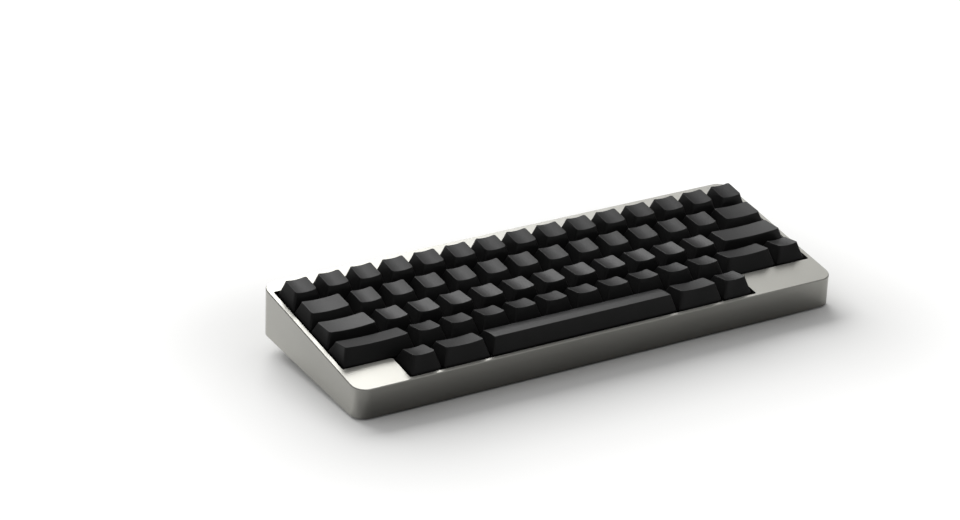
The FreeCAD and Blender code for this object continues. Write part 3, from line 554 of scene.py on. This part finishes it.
world = bpy.data.worlds.new("studio")
bpy.context.scene.world = world
world.use_nodes = True
# The room is so even that it needs no light samples of its own.
world.cycles.sampling_method = "NONE"
tree = world.node_tree
tree.nodes.clear()
direction = add(tree, "ShaderNodeTexCoord", {}).outputs["Generated"]
backwards = add(tree, "ShaderNodeSeparateXYZ", {0: direction}).outputs["Y"]
level = add(tree, "ShaderNodeMapRange", {"Value": backwards, "From Min": dim_at, "From Max": bright_at,
                                         "To Min": room_dim, "To Max": room_bright})
room = add(tree, "ShaderNodeBackground", {"Color": linear("#ffffff"), "Strength": level.outputs["Result"]})
white = add(tree, "ShaderNodeBackground", {"Color": linear("#ffffff"), "Strength": 1.0})
mixed = add(tree, "ShaderNodeMixShader", {0: seen_itself(tree), 1: room.outputs[0], 2: white.outputs[0]})
add(tree, "ShaderNodeOutputWorld", {"Surface": mixed.outputs[0]})


def soft_box(name, radiance):
    """A rectangular lamp that faces the keyboard. Its power is radiance times pi times its area."""
    lamp = bpy.data.lights.new(name, "AREA")
    lamp.shape = "RECTANGLE"
    lamp.size = box_width
    lamp.size_y = box_height
    lamp.energy = radiance * math.pi * box_width * box_height
    stand = bpy.data.objects.new(name, lamp)
    stand.location = box_place
    stand.rotation_euler = (-box_place).to_track_quat("-Z", "Y").to_euler()
    bpy.context.scene.collection.objects.link(stand)
    return stand


soft_box("back_box", box_radiance)
soft_box("fill_box", fill_radiance).visible_glossy = False


# Dark ring. A grey sheet all round the stage, which only reflections see and which glows with its tone: a
# painted reflection that keeps the walls and the caps dark. It is dark up to these heights, in degrees above
# the floor, at these bearings, in degrees from straight back towards the right, and fades to white over the
# given fade, in degrees, to each side of them.
ring_bearings = [-180, -130, -84, -48, -12, 12, 36, 60, 84, 130, 180]
ring_heights = [57, 65, 67, 52, 25, 26, 20, 41, 29, 42, 57]
ring_distance = 4.0
reflected_dark_tone = 0.21
ring_fade = 5.0
bearing_steps = 72
rise_steps = 24


def reflected_only(name, grid, tones, shader):
    """A stage sheet through a grid of points, with a grey tone at each, that only reflections show. It
    casts no light of its own, even where its shader glows."""
    rows, columns, _ = grid.shape
    number = np.arange(rows * columns).reshape(rows, columns)
    quads = np.stack([number[:-1, :-1], number[:-1, 1:], number[1:, 1:], number[1:, :-1]], -1)
    mesh = bpy.data.meshes.new(name)
    mesh.from_pydata(grid.reshape(-1, 3).tolist(), [], quads.reshape(-1, 4).tolist())
    shades = mesh.color_attributes.new("tone", "FLOAT_COLOR", "POINT")
    shades.data.foreach_set("color", np.column_stack([tones.ravel()] * 3 + [np.ones(tones.size)]).ravel())
    material, tree = new_material(name)
    material.cycles.emission_sampling = "NONE"
    shade = add(tree, "ShaderNodeAttribute", {}, attribute_name="tone").outputs["Color"]
    surface = add(tree, shader, {"Color": shade})
    add(tree, "ShaderNodeOutputMaterial", {"Surface": surface.outputs[0]})
    mesh.materials.append(material)
    piece = bpy.data.objects.new(name, mesh)
    bpy.context.scene.collection.objects.link(piece)
    piece.visible_camera = False
    piece.visible_diffuse = False
    piece.visible_transmission = False
    piece.visible_shadow = False


def smooth(value, low, high):
    """0 at low, 1 at high, and between them t * t * (3 - 2 * t) for t from 0 to 1."""
    t = np.clip((value - low) / (high - low), 0, 1)
    return t * t * (3 - 2 * t)


bearings = np.linspace(-180, 180, bearing_steps + 1)
dark_to = np.interp(bearings, ring_bearings, ring_heights)
rises = np.linspace(0, 1, rise_steps + 1)[:, None] * (dark_to + ring_fade)
# Painted reflection: the ring's tone is dark up to the given heights, and white above them.
ring_tones = reflected_dark_tone + (1 - reflected_dark_tone) * smooth(rises, dark_to - ring_fade, dark_to + ring_fade)
ring = np.stack([np.sin(np.radians(bearings)), np.cos(np.radians(bearings))], -1)
ring_grid = ring_distance * np.concatenate([np.broadcast_to(ring, (*rises.shape, 2)),
                                             np.tan(np.radians(rises))[..., None]], -1)
reflected_only("reflected_dark_ring", ring_grid, ring_tones, "ShaderNodeEmission")


# Grey card. A sheet lies on the floor before the case, from 10 mm under it, which only reflections see: a
# painted reflection in the front wall. Its tones are painted shade in that reflection, on top of the real
# shadow it takes: dark at the foot of the case, lighter further out and past the two front corners, and light
# at once at the left one. Blends run over metres out from the case's front, or sideways from one of its ends.
card_foot_shade, card_far = 0.24, 0.72
card_left, card_right = 0.7, 0.74
card_half = 0.3
card_steps = 120
card_height = 0.0003
out_from, out_to = -0.01, 0.07
left_from, left_to = -0.011, 0.064
right_from, right_to = -0.05, 0.05
corner_from, corner_out_to = -0.01, 0.006
case_half = cad_box[1][0]
# The grid is finer where the tones change.
card_rows = np.concatenate([np.linspace(out_from, out_to, 33), [0.1, 1.0]])
card_x, card_out = np.meshgrid(np.linspace(-card_half, card_half, card_steps + 1), card_rows)
left_blend = smooth(-card_x - case_half, left_from, left_to)
right_blend = smooth(card_x - case_half, right_from, right_to)
corner_blend = smooth(-card_x - case_half, corner_from, 0.0) * (1 - smooth(card_out, out_from, corner_out_to))
# Painted shade: the card is darkest at the foot of the case, and lighter further out.
card_tones = card_foot_shade + (card_far - card_foot_shade) * smooth(card_out, out_from, out_to)
card_tones = card_tones + (card_left - card_tones) * left_blend
card_tones = card_tones + (card_right - card_tones) * right_blend
card_tones = card_tones + (card_left - card_tones) * corner_blend
card_grid = np.stack([card_x, cad_box[0][1] - card_out, np.full(card_x.shape, card_height)], -1)
reflected_only("reflected_grey_card", card_grid, card_tones, "ShaderNodeBsdfDiffuse")


# Lying sheet. At the left a sheet like the ring lies on the floor, which only reflections see and which glows
# with its tone: a painted reflection that keeps the left wall dark. It is as light as the card beside the
# case, lighter still at the back, and darkens to the ring's tone further left.
lying_back = 0.9
lying_height = 0.0002
back_from, back_to = -0.02, 0.14
dark_from, dark_by = 0.03, 0.3
# This grid, too, is finer where the tones change.
lying_columns = -np.concatenate([np.linspace(0.16, 0.6, 23), [1.0, 4.0]])
lying_rows = np.concatenate([[-0.3], np.linspace(-0.06, 0.2, 14), [1.0, 4.0]])
lying_x, lying_y = np.meshgrid(lying_columns, lying_rows)
# Painted reflection: the sheet is light by the case and at the back, and dark further left.
lying_tones = card_left + (lying_back - card_left) * smooth(lying_y, back_from, back_to)
lying_tones = lying_tones + (reflected_dark_tone - lying_tones) * smooth(-lying_x - case_half, dark_from, dark_by)
lying_grid = np.stack([lying_x, lying_y, np.full(lying_x.shape, lying_height)], -1)
reflected_only("reflected_left_sheet", lying_grid, lying_tones, "ShaderNodeEmission")


# Camera. It stands 1.6 metres away, to the left in front of the keyboard and 23 degrees above the floor.
# Its place, its three directions and its lens were fitted to the corners of the caps in the photograph.
camera_place = Vector((-0.78227, -1.27325, 0.66752))
camera_right = Vector((0.8650813, -0.5016316, -0.000358))
camera_up = Vector((0.1949883, 0.3356057, 0.921601))
camera_ahead = Vector((0.4621839, 0.7973297, -0.3881385))
camera = bpy.data.objects.new("camera", bpy.data.cameras.new("camera"))
camera.data.sensor_width = 36.0
camera.data.lens = 114.18
camera.data.clip_end = 50.0
camera_turn = Matrix((camera_right, camera_up, -camera_ahead)).transposed()
camera.matrix_world = Matrix.LocRotScale(camera_place, camera_turn, None)
bpy.context.scene.collection.objects.link(camera)
bpy.context.scene.camera = camera
bpy.context.scene.view_settings.view_transform = "Standard"
